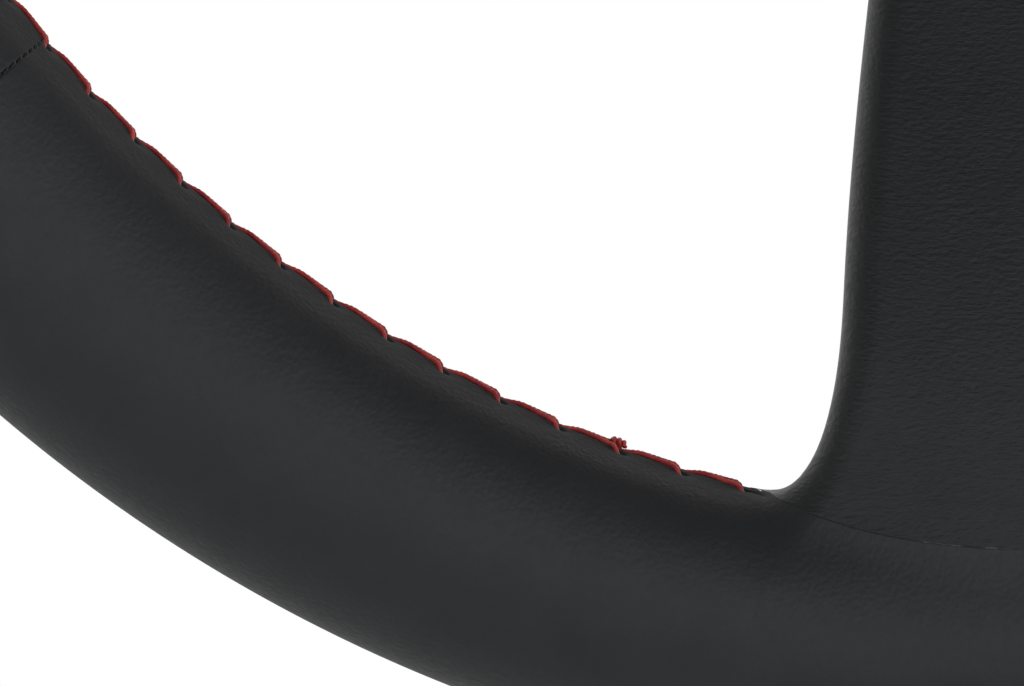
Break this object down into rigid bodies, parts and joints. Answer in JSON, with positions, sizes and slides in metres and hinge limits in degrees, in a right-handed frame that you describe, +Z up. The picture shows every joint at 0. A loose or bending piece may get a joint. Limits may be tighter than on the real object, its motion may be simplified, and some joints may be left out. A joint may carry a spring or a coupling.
{
  "type": "quick release steering wheel",
  "caption": "Dished racing steering wheel with a leather-covered rim and spokes, red lacing along the inner edge, a horn button and a splined ball-lock quick release.",
  "frame": {"origin": "centre of the column flange's back face, on the steering column's axis", "axes": "+Z up to 12 o'clock, +X to the driver's right, -Y towards the driver along the column's axis"},
  "size_m": [0.35, 0.113, 0.35],
  "materials": {
    "leather": "satin",
    "thread": "matte",
    "foam": "matte",
    "bare_aluminium": "satin",
    "black_anodised": "satin",
    "red_anodised": "satin",
    "steel": "satin",
    "spring_steel": "satin",
    "black_oxide": "satin",
    "brass": "satin",
    "rubber": "matte",
    "black_plastic": "satin"
  },
  "bodies": {
    "column_side": {"column_hub": "steel", "shaft_oring": "rubber"},
    "wheel": {"wheel_armature": "bare_aluminium", "rim_core_ring": "bare_aluminium", "rim_padding": "foam", "rim_leather_right": "leather", "rim_leather_top": "leather", "rim_leather_left": "leather", "rim_leather_bottom": "leather", "spoke_leather_right": "leather", "spoke_leather_bottom": "leather", "spoke_leather_left": "leather", "lacing_top": "thread", "lacing_left": "thread", "lacing_right": "thread", "hub_trim_ring": "black_anodised", "hub_screw_1": "black_oxide", "hub_screw_2": "black_oxide", "hub_screw_3": "black_oxide", "hub_screw_4": "black_oxide", "hub_screw_5": "black_oxide", "hub_screw_6": "black_oxide", "horn_housing": "black_plastic", "horn_spring": "spring_steel", "horn_terminal_1": "brass", "horn_terminal_2": "brass", "qr_body": "black_anodised", "collar_spring": "spring_steel", "collar_circlip": "spring_steel"},
    "collar": {"release_collar": "red_anodised"},
    "locking_ball_1": {"ball_1": "steel"},
    "locking_ball_2": {"ball_2": "steel"},
    "locking_ball_3": {"ball_3": "steel"},
    "locking_ball_4": {"ball_4": "steel"},
    "locking_ball_5": {"ball_5": "steel"},
    "locking_ball_6": {"ball_6": "steel"},
    "horn": {"horn_button": "black_plastic", "horn_contact_disc": "brass"}
  },
  "joints": [
    {"name": "wheel_pull_off", "type": "slide", "parent": "column_side", "child": "wheel", "axis": [0, -1, 0], "range_m": [0, 0.055]},
    {"name": "collar_slide", "type": "slide", "parent": "wheel", "child": "collar", "axis": [0, 1, 0], "range_m": [0, 0.0065], "stiffness_N_per_m": 1200, "springref_m": 0.022, "deforming": ["collar_spring"]},
    {"name": "ball_1_slide", "type": "slide", "parent": "wheel", "child": "locking_ball_1", "axis": [-0.866, 0, -0.5], "range_m": [0, 0.00225]},
    {"name": "ball_2_slide", "type": "slide", "parent": "wheel", "child": "locking_ball_2", "axis": [0, 0, -1], "range_m": [0, 0.00225]},
    {"name": "ball_3_slide", "type": "slide", "parent": "wheel", "child": "locking_ball_3", "axis": [0.866, 0, -0.5], "range_m": [0, 0.00225]},
    {"name": "ball_4_slide", "type": "slide", "parent": "wheel", "child": "locking_ball_4", "axis": [0.866, 0, 0.5], "range_m": [0, 0.00225]},
    {"name": "ball_5_slide", "type": "slide", "parent": "wheel", "child": "locking_ball_5", "axis": [0, 0, 1], "range_m": [0, 0.00225]},
    {"name": "ball_6_slide", "type": "slide", "parent": "wheel", "child": "locking_ball_6", "axis": [-0.866, 0, 0.5], "range_m": [0, 0.00225]},
    {"name": "horn_push", "type": "slide", "parent": "wheel", "child": "horn", "axis": [0, 1, 0], "range_m": [0, 0.0015], "stiffness_N_per_m": 600, "springref_m": -0.004, "deforming": ["horn_spring"]}
  ],
  "couplings": [
    {"joint": "ball_1_slide", "follows": "collar_slide", "ratio": 0.34615},
    {"joint": "ball_2_slide", "follows": "collar_slide", "ratio": 0.34615},
    {"joint": "ball_3_slide", "follows": "collar_slide", "ratio": 0.34615},
    {"joint": "ball_4_slide", "follows": "collar_slide", "ratio": 0.34615},
    {"joint": "ball_5_slide", "follows": "collar_slide", "ratio": 0.34615},
    {"joint": "ball_6_slide", "follows": "collar_slide", "ratio": 0.34615}
  ]
}
